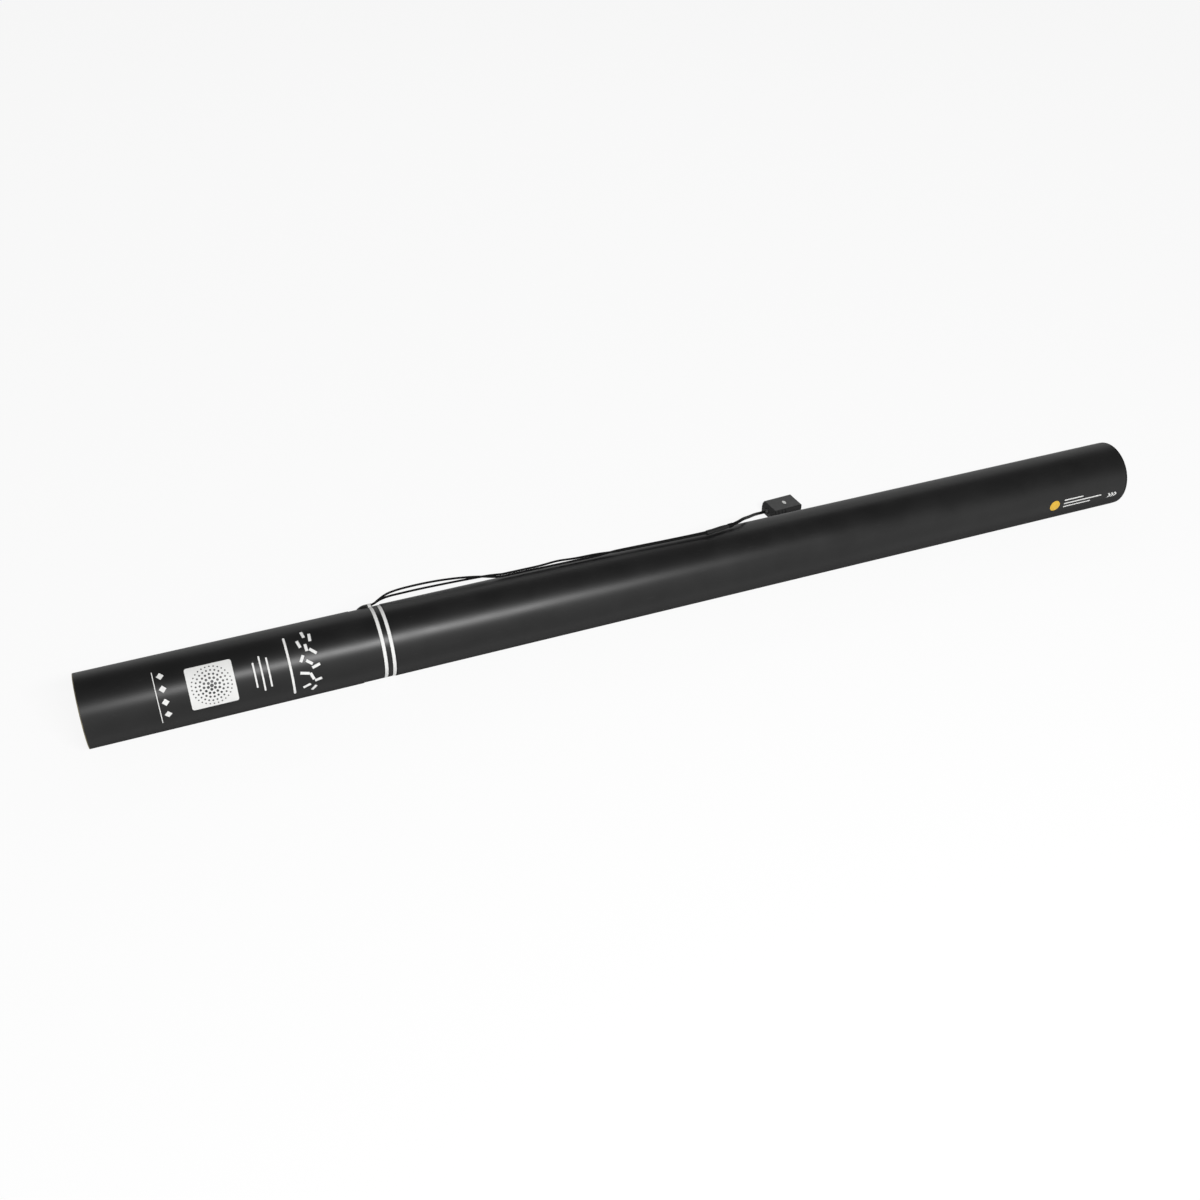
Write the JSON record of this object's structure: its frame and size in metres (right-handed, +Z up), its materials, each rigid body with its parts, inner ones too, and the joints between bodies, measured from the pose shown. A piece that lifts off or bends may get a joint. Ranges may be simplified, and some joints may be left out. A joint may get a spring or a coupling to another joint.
{
  "type": "confetti cannon",
  "caption": "Long black paperboard confetti cannon with a sealed gas base, electric release lead with flat plug, foil slip charge and push-in muzzle cap.",
  "frame": {"origin": "middle of the barrel's length, straight below its axis, on the surface it lies on", "axes": "+X along the barrel towards the muzzle, +Z up, the lead and plug lie on the +Y side"},
  "size_m": [0.8, 0.1143, 0.0539],
  "materials": {
    "wrapped_board": "spiral-wound paperboard, satin black outer ply",
    "printed_wrap": "satin black printed wrap with white marks",
    "black_plastic": "moulded, fine texture",
    "grey_plastic": "moulded nylon",
    "bottle_aluminium": "drawn, satin",
    "kraft_board": "kraft card",
    "foam": "closed-cell foam",
    "felt": "pressed felt",
    "black_rubber": "matt",
    "copper_foil": "rolled foil",
    "steel": "turned",
    "spring_steel": "drawn wire",
    "nylon_link": "monofilament",
    "resistor": "lacquered body, tinned legs",
    "circuit_board": "solder mask",
    "lead_jacket": "flexible jacket",
    "shrink_sleeve": "heat-shrunk sleeve",
    "contact_brass": "stamped",
    "red_foil": "metallised red foil slips"
  },
  "bodies": {
    "cannon": {"barrel_tube": "wrapped_board", "base_wrap": "printed_wrap", "exit_band": "printed_wrap", "base_plug": "black_plastic", "cylinder_pad": "foam", "gas_cylinder": "bottle_aluminium", "lower_centring_ring": "kraft_board", "upper_centring_ring": "kraft_board", "neck_gasket": "black_rubber", "burst_foil": "copper_foil", "firing_head": "grey_plastic", "head_seal": "black_rubber", "striker_spring": "spring_steel", "spring_retainer": "grey_plastic", "fuse_link": "nylon_link", "heater_resistor": "resistor", "terminal_board": "circuit_board", "board_screws": "steel", "diffuser_plate": "grey_plastic", "inner_lead_1": "lead_jacket", "inner_lead_2": "lead_jacket", "exit_grommet": "black_rubber", "lead_wire_1": "lead_jacket", "lead_wire_2": "lead_jacket", "twisted_pair": "lead_jacket", "splice_sleeve": "shrink_sleeve", "splice_ferrules": "contact_brass", "plug_lead": "lead_jacket", "plug_boot": "black_rubber", "plug_shell_bottom": "black_plastic", "plug_shell_top": "black_plastic", "plug_contacts": "contact_brass"},
    "striker": {"striker": "steel"},
    "charge": {"pusher_wad": "foam", "wad_felt": "felt", "confetti_row_1": "red_foil", "confetti_row_2": "red_foil", "confetti_row_3": "red_foil", "confetti_row_4": "red_foil", "confetti_row_5": "red_foil", "confetti_row_6": "red_foil", "charge_disc": "kraft_board"},
    "muzzle_cap": {"muzzle_cap": "black_plastic"}
  },
  "joints": [
    {"name": "striker_slide", "type": "slide", "parent": "cannon", "child": "striker", "axis": [-1, 0, 0], "range_m": [0, 0.0055], "deforming": ["striker_spring", "burst_foil", "fuse_link"]},
    {"name": "charge_slide", "type": "slide", "parent": "cannon", "child": "charge", "axis": [1, 0, 0], "range_m": [0, 0.575]},
    {"name": "cap_slide", "type": "slide", "parent": "cannon", "child": "muzzle_cap", "axis": [1, 0, 0], "range_m": [0, 0.575]}
  ],
  "couplings": [
    {"joint": "cap_slide", "follows": "charge_slide", "ratio": 1}
  ]
}
